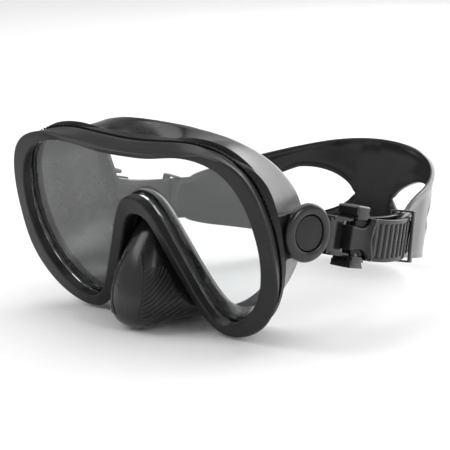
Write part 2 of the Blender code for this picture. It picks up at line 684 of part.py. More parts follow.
def main():
    clear_scene()
    parts = new_collection(COLLECTION)
    origin = Matrix.Translation((0, WINDOW_BACK, WINDOW_HEIGHT))
    mask = add_empty("mask", origin, parts)
    lean = Matrix.Rotation(WINDOW_LEAN, 4, "X")
    window = add_empty("window_plane", origin @ lean, parts)
    droop = Matrix.Rotation(-STRAP_DROOP, 4, "X")
    pivots = {}
    arms = {}
    for name, side in (("left", 1), ("right", -1)):
        place = origin @ Matrix.Translation((side * PIVOT_X, PIVOT_BACK, PIVOT_UP))
        pivots[side] = add_empty(name + "_pivot", place, parts)
        arms[side] = add_empty(name + "_arm", place @ droop, parts)
    glass_lens(parts, window)
    front_bezel(parts, window)
    rear_frame(parts, window, {side: pivots[side].matrix_world for side in pivots})
    skirt(parts, window)
    for piece in pivot_pieces(parts, pivots[1]):
        mirrored(piece, piece.name.replace("left", "right"), pivots[-1])
    pieces = [buckle_body(parts, arms[1])]
    pieces += roller_and_axle(parts, arms[1])
    pieces += latch_pieces(parts, arms[1])
    pieces.append(button_piece(parts, arms[1], "upper", 1, UPPER_BUTTON_TOP))
    pieces.append(button_piece(parts, arms[1], "lower", -1, LOWER_BUTTON_TOP))
    for piece in pieces:
        mirrored(piece, piece.name.replace("left", "right"), arms[-1])
    strap(parts, mask)
    mirrored(keeper(parts, mask), "right_keeper", mask)


main()
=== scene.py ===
"""Diving mask: finished surfaces, studio and camera over the fixed frame of the CAD model.

Run as a script. Every finished piece sits at the origin in metres, +Z up, with the wearer
looking along -Y, and rides on the CAD body that it belongs to.
"""

import json
import math

import bmesh
import bpy
from bpy.props import FloatProperty, FloatVectorProperty, IntProperty, PointerProperty
from mathutils import Matrix, Vector
from mathutils.bvhtree import BVHTree


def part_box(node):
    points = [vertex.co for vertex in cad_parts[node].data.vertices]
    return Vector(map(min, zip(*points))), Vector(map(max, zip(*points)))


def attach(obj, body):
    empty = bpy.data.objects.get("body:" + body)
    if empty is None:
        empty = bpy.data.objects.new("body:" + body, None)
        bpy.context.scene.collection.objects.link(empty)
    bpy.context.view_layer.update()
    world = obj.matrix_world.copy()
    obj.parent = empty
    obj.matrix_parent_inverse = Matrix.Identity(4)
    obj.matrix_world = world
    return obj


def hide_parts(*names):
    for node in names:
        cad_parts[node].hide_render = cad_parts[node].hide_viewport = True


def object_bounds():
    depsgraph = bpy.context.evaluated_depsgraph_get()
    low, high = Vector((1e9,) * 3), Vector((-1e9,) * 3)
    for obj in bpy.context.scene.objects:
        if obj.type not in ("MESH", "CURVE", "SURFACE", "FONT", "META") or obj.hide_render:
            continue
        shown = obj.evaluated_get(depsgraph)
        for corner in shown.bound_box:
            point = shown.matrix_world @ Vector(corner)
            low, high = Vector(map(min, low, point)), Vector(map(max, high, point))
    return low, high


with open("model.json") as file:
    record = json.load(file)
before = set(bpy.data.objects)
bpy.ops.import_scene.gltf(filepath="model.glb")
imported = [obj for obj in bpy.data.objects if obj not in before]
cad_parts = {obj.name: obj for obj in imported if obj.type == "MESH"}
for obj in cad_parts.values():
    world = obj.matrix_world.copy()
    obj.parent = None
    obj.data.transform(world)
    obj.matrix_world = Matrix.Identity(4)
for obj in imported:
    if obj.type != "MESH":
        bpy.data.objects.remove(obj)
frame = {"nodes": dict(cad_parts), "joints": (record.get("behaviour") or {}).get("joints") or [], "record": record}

bl_info = {
    "name": "Diving Mask Finish",
    "version": (1, 0, 0),
    "blender": (4, 5, 0),
    "location": "3D View > Sidebar > Diving Mask",
    "description": "Builds the finished surfaces of a single-window diving mask",
    "category": "Object",
}

MM = 0.001
SIDES = ((1, "left"), (-1, "right"))
WELD = 0.004 * MM
CAD_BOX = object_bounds()
BODIES = frame["record"]["behaviour"]["bodies"]
PIVOT = Vector(next(j for j in frame["joints"] if j["name"] == "harness_tilt")["pos_m"])

# the window's centre and lean, as in the part
WINDOW = PIVOT - Vector((0, 24.6, 11.1)) * MM
WINDOW_LEAN = math.radians(16.3)
STRAP_DROOP = math.radians(13.0)
STRAP_UP = Vector((0, math.sin(STRAP_DROOP), math.cos(STRAP_DROOP)))

# points on the strap's centre line, from the roller outwards, in millimetres from the
# window's centre
TAIL_PATH = [(83.9, 74, -0.5), (84.4, 85, -2.8), (83.2, 97, -4.5), (80, 108, -5.2),
             (76, 118, -5.6)]
MAIN_PATH = [(75.4, 74, -0.5), (77.0, 85, -2.8), (76.6, 97, -4.5), (74.6, 108, -5.2),
             (71.6, 118, -5.6), (66.8, 133, -6.2), (62, 148, -6.8), (55, 163, -7.2),
             (44, 177, -7.6), (29.5, 187, -7.8), (14, 191.8, -8), (0, 193, -8)]
KEEPER_POINT = 4

# depth of the frame's face behind the window's centre, the line of flange beads on that
# plane, and the ribbed panel on the nose's left side, in millimetres
FRAME_FACE = 9.2
BEAD_PATH = [(42.2, 51.4), (50.2, 50.7), (56.7, 48.6), (62.9, 45.7), (68.6, 41.3),
             (73.2, 35.9), (75.6, 29.5), (77.2, 22.5), (78, 16.5)]
NOSE_FRONT_EDGE = [(8.4, -5.2, -11.5), (8.6, -10.0, -36.0)]
NOSE_BACK_EDGE = [(12.5, 4.0, -11.5), (20.5, 13.0, -36.0)]
NOSE_SIDE = Vector((0.91, -0.41, 0.0))
NOSE_ALONG = Vector((0.41, 0.91, 0.0))
NOSE_RIB_STEPS = 24
BORDER_POINTS = 30
BORDER_PAST_TOP = 0.25
BORDER_AHEAD = 0.9
CAST_FROM = 14


def on_window(x, v, depth):
    """A point given across, up and behind the window plane, all in millimetres."""
    up, away = math.sin(WINDOW_LEAN), math.cos(WINDOW_LEAN)
    return WINDOW + Vector((x, depth * away - v * up, v * away + depth * up)) * MM


# ---------------------------------------------------------------- shader maths


class Value:
    """A number socket; arithmetic on it adds Math nodes to its tree."""

    def __init__(self, recipe, socket):
        self.recipe = recipe
        self.socket = socket

    def _math(self, operation, first, second):
        node = self.recipe.node("ShaderNodeMath", {"operation": operation},
                                {0: first, 1: second})
        return Value(self.recipe, node.outputs[0])

    def __add__(self, other):
        return self._math("ADD", self, other)

    def __radd__(self, other):
        return self._math("ADD", other, self)

    def __sub__(self, other):
        return self._math("SUBTRACT", self, other)

    def __rsub__(self, other):
        return self._math("SUBTRACT", other, self)

    def __mul__(self, other):
        return self._math("MULTIPLY", self, other)

    def __rmul__(self, other):
        return self._math("MULTIPLY", other, self)


class Recipe:
    """One material's node tree round a Principled shader."""

    def __init__(self, name):
        self.material = bpy.data.materials.new(name)
        self.material.use_nodes = True
        self.tree = self.material.node_tree
        self.shader = self.tree.nodes["Principled BSDF"]
        coordinates = self.node("ShaderNodeTexCoord", {}, {})
        self.place = coordinates.outputs["Object"]

    def node(self, kind, settings, inputs):
        """Add a node: its settings first, then the values or links of its sockets."""
        node = self.tree.nodes.new(kind)
        for name, value in settings.items():
            if name == "stops":
                ramp = node.color_ramp.elements
                while len(ramp) < len(value):
                    ramp.new(0.5)
                for element, (position, level) in zip(ramp, value):
                    element.position = position
                    element.color = (level, level, level, 1)
            else:
                setattr(node, name, value)
        self.fill(node, inputs)
        return node

    def fill(self, node, inputs):
        for name, value in inputs.items():
            source = value.socket if isinstance(value, Value) else value
            if isinstance(source, bpy.types.NodeSocket):
                self.tree.links.new(source, node.inputs[name])
            else:
                node.inputs[name].default_value = source

    def noise(self, scale, detail=2.0, roughness=0.5, distortion=0.0):
        node = self.node("ShaderNodeTexNoise", {}, {
            "Vector": self.place, "Scale": scale, "Detail": detail,
            "Roughness": roughness, "Distortion": distortion})
        return Value(self, node.outputs["Fac"])

    def ramp(self, value, stops):
        node = self.node("ShaderNodeValToRGB", {"stops": stops}, {"Fac": value})
        return Value(self, node.outputs["Color"])

    def blend(self, factor, low, high):
        node = self.node("ShaderNodeMix", {"data_type": "RGBA"}, {0: factor})
        node.inputs[6].default_value = (*low, 1)
        node.inputs[7].default_value = (*high, 1)
        return node.outputs[2]

    def bump(self, height, distance):
        node = self.node("ShaderNodeBump", {}, {"Height": height, "Distance": distance})
        return node.outputs["Normal"]

    def finish(self, constants, varying):
        """Constants sit on the shader's own sockets; what varies is linked."""
        self.fill(self.shader, constants)
        self.fill(self.shader, varying)
        return self.material


def lighter(colour, factor):
    return tuple(min(channel * factor, 1.0) for channel in colour)


# ---------------------------------------------------------------- finishes


def grained_plastic(name, colour, roughness, grain, coat=0.0):
    """Spark-eroded black plastic: fine grain, faint mottling and rubbed patches."""
    recipe = Recipe(name)
    fine = recipe.noise(4200.0, 3.0, 0.65)
    specks = recipe.ramp(recipe.noise(2600.0, 2.0), [(0.55, 0.0), (0.72, 1.0)])
    clouds = recipe.noise(60.0, 3.0)
    rubbed = recipe.ramp(recipe.noise(22.0, 4.0), [(0.45, 0.0), (0.75, 1.0)])
    tone = specks * 0.55 + clouds * 0.45
    return recipe.finish(
        {"Specular IOR Level": 0.24, "Coat Weight": coat, "Coat Roughness": 0.16},
        {"Base Color": recipe.blend(tone, lighter(colour, 0.7), lighter(colour, 1.9)),
         "Roughness": roughness + fine * 0.16 - rubbed * 0.12,
         "Normal": recipe.bump(fine + specks * 0.5, grain * MM)})


def polished_plastic(name, colour, roughness):
    """High-gloss black plastic with hair-fine scratches and slight sink marks."""
    recipe = Recipe(name)
    hairs = recipe.noise(900.0, 5.0, 0.8, 2.0)
    haze = recipe.noise(45.0, 3.0)
    dust = recipe.ramp(recipe.noise(1900.0, 1.0), [(0.66, 0.0), (0.74, 1.0)])
    return recipe.finish(
        {"Specular IOR Level": 0.3, "Coat Roughness": 0.05, "Coat IOR": 1.4},
        {"Base Color": recipe.blend(dust * 0.35 + haze * 0.3, colour, lighter(colour, 2.4)),
         "Roughness": roughness + haze * 0.1 + hairs * 0.06,
         "Coat Weight": 0.35 + haze * 0.3,
         "Normal": recipe.bump(haze * 0.7 + hairs * 0.05, 0.03 * MM)})


def silicone(name, colour, roughness, coat):
    """Moulded silicone: soft sheen, flow marks and a bloom of fine dust."""
    recipe = Recipe(name)
    flow = recipe.noise(38.0, 4.0, 0.5, 0.6)
    bloom = recipe.ramp(recipe.noise(140.0, 3.0, 0.6), [(0.35, 0.0), (0.85, 1.0)])
    pores = recipe.noise(3000.0, 2.0)
    return recipe.finish(
        {"Specular IOR Level": 0.3, "Coat Roughness": 0.2, "Coat IOR": 1.35,
         "Sheen Weight": 0.02, "Sheen Roughness": 0.4},
        {"Base Color": recipe.blend(bloom * 0.6 + flow * 0.4, colour, lighter(colour, 1.7)),
         "Roughness": roughness + bloom * 0.08 - flow * 0.05,
         "Coat Weight": coat + flow * 0.15,
         "Normal": recipe.bump(flow * 0.5 + pores * 0.015, 0.04 * MM)})


def brushed_steel(name):
    recipe = Recipe(name)
    brush = recipe.noise(1400.0, 4.0, 0.7, 3.0)
    return recipe.finish(
        {"Metallic": 1.0},
        {"Base Color": recipe.blend(brush, (0.12, 0.12, 0.125), (0.26, 0.26, 0.27)),
         "Roughness": 0.22 + brush * 0.18,
         "Normal": recipe.bump(brush, 0.01 * MM)})


def clear_glass(name):
    """Tempered glass: clear, with the faintest smear of handling on its face."""
    recipe = Recipe(name)
    smear = recipe.ramp(recipe.noise(26.0, 5.0, 0.6, 1.2), [(0.5, 0.0), (0.9, 1.0)])
    return recipe.finish(
        {"Transmission Weight": 1.0, "IOR": 1.5, "Specular IOR Level": 0.5},
        {"Base Color": recipe.blend(smear, (0.95, 0.97, 0.97), (0.9, 0.93, 0.93)),
         "Roughness": smear * 0.03})


def pale_paper(name):
    recipe = Recipe(name)
    fibre = recipe.noise(180.0, 3.0)
    return recipe.finish(
        {"Specular IOR Level": 0.2},
        {"Base Color": recipe.blend(fibre, (0.93, 0.93, 0.93), (0.95, 0.95, 0.95)),
         "Roughness": 0.7 + fibre * 0.1})


def finish_of(key):
    """The scene's one copy of each finish."""
    if key in bpy.data.materials:
        return bpy.data.materials[key]
    look = bpy.context.scene.mask_finish
    plastic, rubber = tuple(look.plastic_colour), tuple(look.rubber_colour)
    makers = {
        "bezel_grain": lambda: grained_plastic(key, plastic, 0.42, 0.035, 0.18),
        "frame_grain": lambda: grained_plastic(key, lighter(plastic, 0.9), 0.36, 0.02),
        "latch_satin": lambda: grained_plastic(key, plastic, 0.28, 0.012),
        "insert_satin": lambda: grained_plastic(key, lighter(plastic, 2.0), 0.4, 0.02),
        "buckle_gloss": lambda: polished_plastic(key, lighter(plastic, 0.8), 0.16),
        "button_gloss": lambda: polished_plastic(key, lighter(plastic, 1.1), 0.22),
        "skirt_rubber": lambda: silicone(key, rubber, 0.26, 0.4),
        "strap_rubber": lambda: silicone(key, lighter(rubber, 1.1), 0.24, 0.4),
        "keeper_rubber": lambda: silicone(key, rubber, 0.3, 0.3),
        "pin_steel": lambda: brushed_steel(key),
        "lens_glass": lambda: clear_glass(key),
        "studio_paper": lambda: pale_paper(key),
    }
    return makers[key]()


# ---------------------------------------------------------------- mesh helpers


def spline(points, samples):
    """Catmull-Rom points through the given ones, keeping both ends."""
    points = [Vector(p) for p in points]
    result = []
    for i in range(len(points) - 1):
        p1, p2 = points[i], points[i + 1]
        p0 = points[i - 1] if i > 0 else 2 * p1 - p2
        p3 = points[i + 2] if i + 2 < len(points) else 2 * p2 - p1
        for step in range(samples):
            t = step / samples
            result.append(0.5 * (2 * p1 + (p2 - p0) * t
                                 + (2 * p0 - 5 * p1 + 4 * p2 - p3) * t * t
                                 + (3 * p1 - p0 - 3 * p2 + p3) * t ** 3))
    result.append(points[-1])
    return result


def body_of(node):
    return next(body for body, nodes in BODIES.items() if node in nodes)


def new_piece(name, bm, key):
    mesh = bpy.data.meshes.new(name)
    bm.to_mesh(mesh)
    bm.free()
    mesh.materials.append(finish_of(key))
    piece = bpy.data.objects.new(name, mesh)
    bpy.context.scene.collection.objects.link(piece)
    return piece


def apply_modifiers(piece, smooth_angle=40.0):
    """Bake a piece's modifiers into its mesh and shade it smooth."""
    bpy.context.view_layer.update()
    depsgraph = bpy.context.evaluated_depsgraph_get()
    mesh = bpy.data.meshes.new_from_object(piece.evaluated_get(depsgraph))
    piece.modifiers.clear()
    piece.data = mesh
    mesh.shade_smooth()
    mesh.set_sharp_from_angle(angle=math.radians(smooth_angle))
    return piece


def settle(piece, body, slot, *nodes):
    """Give a finished piece its body and hide the CAD nodes it stands for; its material slot is not used."""
    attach(piece, body)
    if nodes:
        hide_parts(*nodes)


def welded_copy(node, quads=True):
    """A CAD node's mesh with its corners merged and its triangles paired up again."""
    bm = bmesh.new()
    bm.from_mesh(frame["nodes"][node].data)
    bmesh.ops.remove_doubles(bm, verts=bm.verts, dist=WELD)
    if quads:
        bmesh.ops.join_triangles(bm, faces=bm.faces, angle_face_threshold=math.radians(25),
                                 angle_shape_threshold=math.radians(70))
    return bm


def smoothed(node, name, key, sharp, levels, bevel=0.0):
    """A CAD node subdivided to a smooth surface, with its sharp edges kept."""
    bm = welded_copy(node)
    crease = bm.edges.layers.float.new("crease_edge")
    for edge in bm.edges:
        if len(edge.link_faces) == 2 and edge.calc_face_angle() > math.radians(sharp):
            edge[crease] = 1.0
    piece = new_piece(name, bm, key)
    surface = piece.modifiers.new("surface", "SUBSURF")
    surface.levels = levels
    surface.render_levels = levels
    if bevel:
        rounding = piece.modifiers.new("rounding", "BEVEL")
        rounding.width = bevel
        rounding.segments = 3
        rounding.limit_method = "ANGLE"
        rounding.angle_limit = math.radians(30)
    return apply_modifiers(piece)


def rounded(node, name, key, width):
    """A CAD node with its edges rounded over."""
    bm = welded_copy(node, quads=False)
    bmesh.ops.dissolve_limit(bm, angle_limit=math.radians(1.0), verts=bm.verts,
                             edges=bm.edges)
    piece = new_piece(name, bm, key)
    rounding = piece.modifiers.new("rounding", "BEVEL")
    rounding.width = width
    rounding.segments = 3
    rounding.limit_method = "ANGLE"
    rounding.angle_limit = math.radians(35)
    return apply_modifiers(piece)


# ---------------------------------------------------------------- geometry node trees


class GeometryRecipe:
    """One Geometry Nodes tree, with named inputs and an output geometry."""

    def __init__(self, name, inputs):
        self.tree = bpy.data.node_groups.new(name, "GeometryNodeTree")
        face = self.tree.interface
        face.new_socket("Geometry", in_out="INPUT", socket_type="NodeSocketGeometry")
        for label, kind, default in inputs:
            socket = face.new_socket(label, in_out="INPUT", socket_type=kind)
            if default is not None:
                socket.default_value = default
        face.new_socket("Geometry", in_out="OUTPUT", socket_type="NodeSocketGeometry")
        self.entry = self.tree.nodes.new("NodeGroupInput")
        self.exit = self.tree.nodes.new("NodeGroupOutput")

    def node(self, kind, settings, inputs):
        node = self.tree.nodes.new(kind)
        for name, value in settings.items():
            setattr(node, name, value)
        for name, value in inputs.items():
            if isinstance(value, bpy.types.NodeSocket):
                self.tree.links.new(value, node.inputs[name])
            else:
                node.inputs[name].default_value = value
        return node

    def input(self, label):
        return self.entry.outputs[label]

    def close(self, geometry, material):
        real = self.node("GeometryNodeRealizeInstances", {}, {"Geometry": geometry})
        dressed = self.node("GeometryNodeSetMaterial", {},
                            {"Geometry": real.outputs[0], "Material": material})
        self.tree.links.new(dressed.outputs[0], self.exit.inputs[0])
        return self.tree


def grown(name, tree, source, values, key):
    """Run a tree on a source object and keep the result as a plain mesh piece."""
    modifier = source.modifiers.new("grow", "NODES")
    modifier.node_group = tree
    sockets = {item.name: item.identifier for item in tree.interface.items_tree
               if item.in_out == "INPUT"}
    for label, value in values.items():
        modifier[sockets[label]] = value
    bpy.context.view_layer.update()
    depsgraph = bpy.context.evaluated_depsgraph_get()
    mesh = bpy.data.meshes.new_from_object(source.evaluated_get(depsgraph))
    mesh.name = name
    bpy.data.objects.remove(source, do_unlink=True)
    piece = bpy.data.objects.new(name, mesh)
    bpy.context.scene.collection.objects.link(piece)
    mesh.materials.clear()
    mesh.materials.append(finish_of(key))
    mesh.shade_smooth()
    mesh.set_sharp_from_angle(angle=math.radians(50))
    return piece


def cross_bars_tree(name, material):
    """Round bars across a path, evenly spaced, all leaning the same way."""
    recipe = GeometryRecipe(name, [("Pitch", "NodeSocketFloat", 3 * MM),
                                   ("Bar Radius", "NodeSocketFloat", 1.4 * MM),
                                   ("Flatness", "NodeSocketFloat", 0.45),
                                   ("Bar Length", "NodeSocketFloat", 16 * MM),
                                   ("Lean", "NodeSocketVector", None)])
    curve = recipe.node("GeometryNodeMeshToCurve", {}, {"Mesh": recipe.input("Geometry")})
    spaced = recipe.node("GeometryNodeResampleCurve", {"mode": "LENGTH"},
                         {"Curve": curve.outputs[0], "Length": recipe.input("Pitch")})
    bar = recipe.node("GeometryNodeMeshCylinder", {"fill_type": "TRIANGLE_FAN"},
                      {"Vertices": 16, "Radius": recipe.input("Bar Radius"),
                       "Depth": recipe.input("Bar Length")})
    along = recipe.node("GeometryNodeInputTangent", {}, {})
    first = recipe.node("FunctionNodeAlignRotationToVector", {"axis": "Z"},
                        {"Vector": recipe.input("Lean")})
    turned = recipe.node("FunctionNodeAlignRotationToVector", {"axis": "X", "pivot_axis": "Z"},
                         {"Rotation": first.outputs[0], "Vector": along.outputs[0]})
    squeezed = recipe.node("ShaderNodeCombineXYZ", {},
                           {"X": 1.0, "Y": recipe.input("Flatness"), "Z": 1.0})
    placed = recipe.node("GeometryNodeInstanceOnPoints", {},
                         {"Points": spaced.outputs[0], "Instance": bar.outputs[0],
                          "Rotation": turned.outputs[0], "Scale": squeezed.outputs[0]})
    return recipe.close(placed.outputs[0], material)


def bead_row_tree(name, material):
    """Small domed beads along a path."""
    recipe = GeometryRecipe(name, [("Count", "NodeSocketInt", 20),
                                   ("Bead Radius", "NodeSocketFloat", 0.6 * MM)])
    curve = recipe.node("GeometryNodeMeshToCurve", {}, {"Mesh": recipe.input("Geometry")})
    spaced = recipe.node("GeometryNodeResampleCurve", {"mode": "COUNT"},
                         {"Curve": curve.outputs[0], "Count": recipe.input("Count")})
    bead = recipe.node("GeometryNodeMeshUVSphere", {},
                       {"Segments": 10, "Rings": 6, "Radius": recipe.input("Bead Radius")})
    placed = recipe.node("GeometryNodeInstanceOnPoints", {},
                         {"Points": spaced.outputs[0], "Instance": bead.outputs[0]})
    return recipe.close(placed.outputs[0], material)


def piping_tree(name, material):
    """Round piping that follows every chain of edges of its source."""
    recipe = GeometryRecipe(name, [("Radius", "NodeSocketFloat", 0.5 * MM),
                                   ("Sides", "NodeSocketInt", 8)])
    curve = recipe.node("GeometryNodeMeshToCurve", {}, {"Mesh": recipe.input("Geometry")})
    circle = recipe.node("GeometryNodeCurvePrimitiveCircle", {},
                         {"Resolution": recipe.input("Sides"),
                          "Radius": recipe.input("Radius")})
    tube = recipe.node("GeometryNodeCurveToMesh", {},
                       {"Curve": curve.outputs[0], "Profile Curve": circle.outputs[0],
                        "Fill Caps": True})
    return recipe.close(tube.outputs[0], material)


def chains_object(name, chains):
    """A mesh of several open chains of edges."""
    points, edges = [], []
    for chain in chains:
        start = len(points)
        points += [tuple(p) for p in chain]
        edges += [(start + i, start + i + 1) for i in range(len(chain) - 1)]
    mesh = bpy.data.meshes.new(name)
    mesh.from_pydata(points, edges, [])
    source = bpy.data.objects.new(name, mesh)
    bpy.context.scene.collection.objects.link(source)
    return source


# ---------------------------------------------------------------- strap


# rows left plain at the tail's end, and rows that still have ribs past the roller
RIB_ROWS_FROM_TAIL = 4
RIB_ROWS_PAST_ROLLER = 40


def strap_centre_line(sizes):
    """The left half from the tail's end round the roller to the middle of the pad."""
    low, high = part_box("left_roller")
    middle = (low + high) / 2
    arm = Vector((0, math.cos(STRAP_DROOP), -math.sin(STRAP_DROOP)))
    side = Vector((1, 0, 0))
    steps = 14
    wrap = []
    for k in range(steps + 1):
        turn = math.pi * k / steps
        wrap.append(middle + (side * math.cos(turn) - arm * math.sin(turn))
                    * sizes.wrap_radius)
    tail = [WINDOW + Vector(p) * MM for p in TAIL_PATH]
    main = [WINDOW + Vector(p) * MM for p in MAIN_PATH]
    outer = spline(list(reversed(tail)) + [wrap[0]], 7)
    inner = spline([wrap[-1]] + main, 9)
    return outer, wrap[1:-1], inner


def half_width(point, sizes):
    """Half the strap's width on its way from the roller to the middle of the pad."""
    local = (point - WINDOW) / MM
    keeper_x, keeper_y, _ = MAIN_PATH[KEEPER_POINT]
    half = sizes.end_half + 1.0 * MM * min(max((local.y - 72) / 24, 0), 1)
    if local.y > keeper_y:
        share = min(max(1 - abs(local.x) / keeper_x, 0), 1)
        half += (sizes.pad_half - half) * math.sin(share * math.pi / 2) ** 0.65
    return half


def hole_half(along, half, sizes):
    """Half the height of the pad's hole at a share of its length from the bridge."""
    if not 0 < along < 1:
        return 0.0
    bridge_end = min(along / 0.6, 1) ** 0.6
    corner_end = (1 - along ** 4) ** 0.5
    return max(half - sizes.band_width, 0.0) * bridge_end * corner_end


def strap_rows(sizes):
    """Each row's centre, half width, half hole and the face's normal."""
    outer, wrap, inner = strap_centre_line(sizes)
    points = outer + wrap + inner
    to_middle = [0.0]
    for a, b in zip(reversed(inner[:-1]), reversed(inner)):
        to_middle.append(to_middle[-1] + (a - b).length)
    to_middle.reverse()
    rows = []
    first_inner = len(outer) + len(wrap)
    for i, point in enumerate(points):
        along = points[min(i + 1, len(points) - 1)] - points[max(i - 1, 0)]
        normal = along.cross(STRAP_UP).normalized()
        half, gap = sizes.end_half, 0.0
        if i >= first_inner:
            half = half_width(point, sizes)
            share = (to_middle[i - first_inner] - sizes.hole_start) / sizes.hole_length
            gap = hole_half(share, half, sizes)
        rows.append((point, half, gap, normal))
    rows[-1] = (*rows[-1][:3], Vector((-1, 0, 0)).cross(STRAP_UP))
    return rows, first_inner


def band_levels(half, gap, rim):
    """Heights across one band, from its outer edge to the hole or the middle."""
    width = half - gap
    outer = [0.0, 0.25 * rim, rim, 1.25 * rim]
    middle = [width * k / 6 for k in (2, 3, 4)]
    inner = [width - 1.25 * rim, width - rim, width - 0.25 * rim, width]
    return [half - d for d in outer + middle + inner]


def strap_mesh(sizes):
    """Both faces and all edges of the strap's left half."""
    rows, _ = strap_rows(sizes)
    bm = bmesh.new()
    grids = {}
    rim_at = (1, 1, 1, 0, 0, 0, 0, 0, 1, 1, 1)
    for face in (1, -1):
        for band in (1, -1):
            grid = []
            for point, half, gap, normal in rows:
                inner_rim = min(gap / (2 * MM), 1.0)
                line = []
                for k, level in enumerate(band_levels(half, gap, sizes.rim_width)):
                    rise = sizes.rim_height * rim_at[k]
                    if k > 6:
                        rise *= inner_rim
                    lift = sizes.thickness / 2 + rise - sizes.rim_height
                    line.append(bm.verts.new(point + STRAP_UP * level * band
                                             + normal * lift * face))
                grid.append(line)
            grids[face, band] = grid
    count = len(rows)
    for (face, band), grid in grids.items():
        for i in range(count - 1):
            for k in range(len(grid[i]) - 1):
                bm.faces.new((grid[i][k], grid[i + 1][k], grid[i + 1][k + 1], grid[i][k + 1]))
    for band in (1, -1):
        front, back = grids[1, band], grids[-1, band]
        for i in range(count - 1):
            bm.faces.new((front[i][0], back[i][0], back[i + 1][0], front[i + 1][0]))
            if rows[i][2] > 0 or rows[i + 1][2] > 0:
                bm.faces.new((front[i][-1], front[i + 1][-1], back[i + 1][-1], back[i][-1]))
        for k in range(len(front[0]) - 1):
            bm.faces.new((front[0][k], front[0][k + 1], back[0][k + 1], back[0][k]))
    bmesh.ops.remove_doubles(bm, verts=bm.verts, dist=0.02 * MM)
    bmesh.ops.recalc_face_normals(bm, faces=bm.faces)
    return bm


class STRAP_OT_band(bpy.types.Operator):
    """Mould the head strap: ribbed doubled ends, rimmed edges and a split back pad"""

    bl_idname = "mask.strap"
    bl_label = "Strap"

    def execute(self, context):
        sizes = context.scene.strap_sizes
        piece = new_piece("strap_moulding", strap_mesh(sizes), "strap_rubber")
        mirror = piece.modifiers.new("mirror", "MIRROR")
        mirror.merge_threshold = 0.05 * MM
        rounding = piece.modifiers.new("rounding", "BEVEL")
        rounding.width = 0.45 * MM
        rounding.segments = 2
        rounding.limit_method = "ANGLE"
        rounding.angle_limit = math.radians(55)
        apply_modifiers(piece, 60)
        settle(piece, "harness", "strap_silicone", "strap")
        rows, first_inner = strap_rows(sizes)
        tree = cross_bars_tree("strap_ribs", finish_of("strap_rubber"))
        stop = first_inner + RIB_ROWS_PAST_ROLLER
        for side, name in SIDES:
            lift = sizes.thickness / 2 - sizes.rim_height
            line = []
            for point, _, _, normal in rows[RIB_ROWS_FROM_TAIL:stop]:
                at = point - normal * lift
                line.append((at.x * side, at.y, at.z))
            chain = chains_object("rib_path", [line])
            values = {"Pitch": sizes.rib_pitch, "Bar Radius": sizes.rib_radius,
                      "Bar Length": 2 * (sizes.end_half - sizes.rim_width) - 0.4 * MM,
                      "Lean": STRAP_UP}
            ribs = grown(name + "_strap_ribs", tree, chain, values, "strap_rubber")
            settle(ribs, "harness", "strap_silicone")
        return {"FINISHED"}


# ---------------------------------------------------------------- mask body


class MASK_OT_glass(bpy.types.Operator):
    """Give the flat window its tempered glass"""

    bl_idname = "mask.glass"
    bl_label = "Glass"

    def execute(self, context):
        lens = frame["nodes"]["lens"]
        for slot in lens.material_slots:
            slot.material = finish_of("lens_glass")
        return {"FINISHED"}


class MASK_OT_rings(bpy.types.Operator):
    """Smooth the bezel round the glass and the frame behind it"""

    bl_idname = "mask.rings"
    bl_label = "Bezel and frame"

    def execute(self, context):
        bezel = smoothed("front_bezel", "bezel_moulding", "bezel_grain", 28, 2, 0.25 * MM)
        settle(bezel, "mask", "bezel", "front_bezel")
        ring = smoothed("rear_frame", "frame_moulding", "frame_grain", 30, 2, 0.2 * MM)
        settle(ring, "mask", "frame", "rear_frame")
        return {"FINISHED"}


class MASK_OT_grip_row(bpy.types.Operator):
    """Set the row of small beads on the frame's flange beside the bezel"""

    bl_idname = "mask.grip_row"
    bl_label = "Flange beads"

    def execute(self, context):
        tree = bead_row_tree("flange_beads", finish_of("bezel_grain"))
        for side, name in SIDES:
            line = [on_window(p.x * side, p.y, FRAME_FACE) for p in
                    spline([(x, v, 0) for x, v in BEAD_PATH], 6)]
            source = chains_object("bead_path", [line])
            beads = grown(name + "_flange_beads", tree, source,
                          {"Count": 24, "Bead Radius": 0.5 * MM}, "bezel_grain")
            settle(beads, "mask", "frame")
        return {"FINISHED"}


def on_skirt(surface, at):
    """The place on the skirt's left side straight in from a point beside the nose."""
    return surface.ray_cast(WINDOW + (at + NOSE_SIDE * CAST_FROM) * MM, -NOSE_SIDE)[0]


def nose_chains(surface, sizes):
    """Lines of the nose's slanting ribs and of the border in front of them."""
    front = [Vector(p) for p in NOSE_FRONT_EDGE]
    back = [Vector(p) for p in NOSE_BACK_EDGE]
    top, bottom = front[0].z, front[1].z
    chains = []
    for k in range(sizes.ribs):
        start = bottom - sizes.rise + (top - bottom + sizes.rise) * k / (sizes.ribs - 1)
        chain = []
        for step in range(NOSE_RIB_STEPS + 1):
            across = step / NOSE_RIB_STEPS
            level = start + sizes.rise * across
            if not bottom <= level <= top:
                continue
            share = (top - level) / (top - bottom)
            at = front[0].lerp(front[1], share).lerp(back[0].lerp(back[1], share), across)
            at.z = level
            hit = on_skirt(surface, at)
            if hit is not None:
                chain.append(hit)
        if len(chain) > 3:
            chains.append(chain)
    border = []
    for step in range(BORDER_POINTS):
        share = step / (BORDER_POINTS - 1) * (1 + BORDER_PAST_TOP) - BORDER_PAST_TOP
        hit = on_skirt(surface, front[0].lerp(front[1], share) - NOSE_ALONG * BORDER_AHEAD)
        if hit is not None:
            border.append(hit)
    chains.append(border)
    return chains


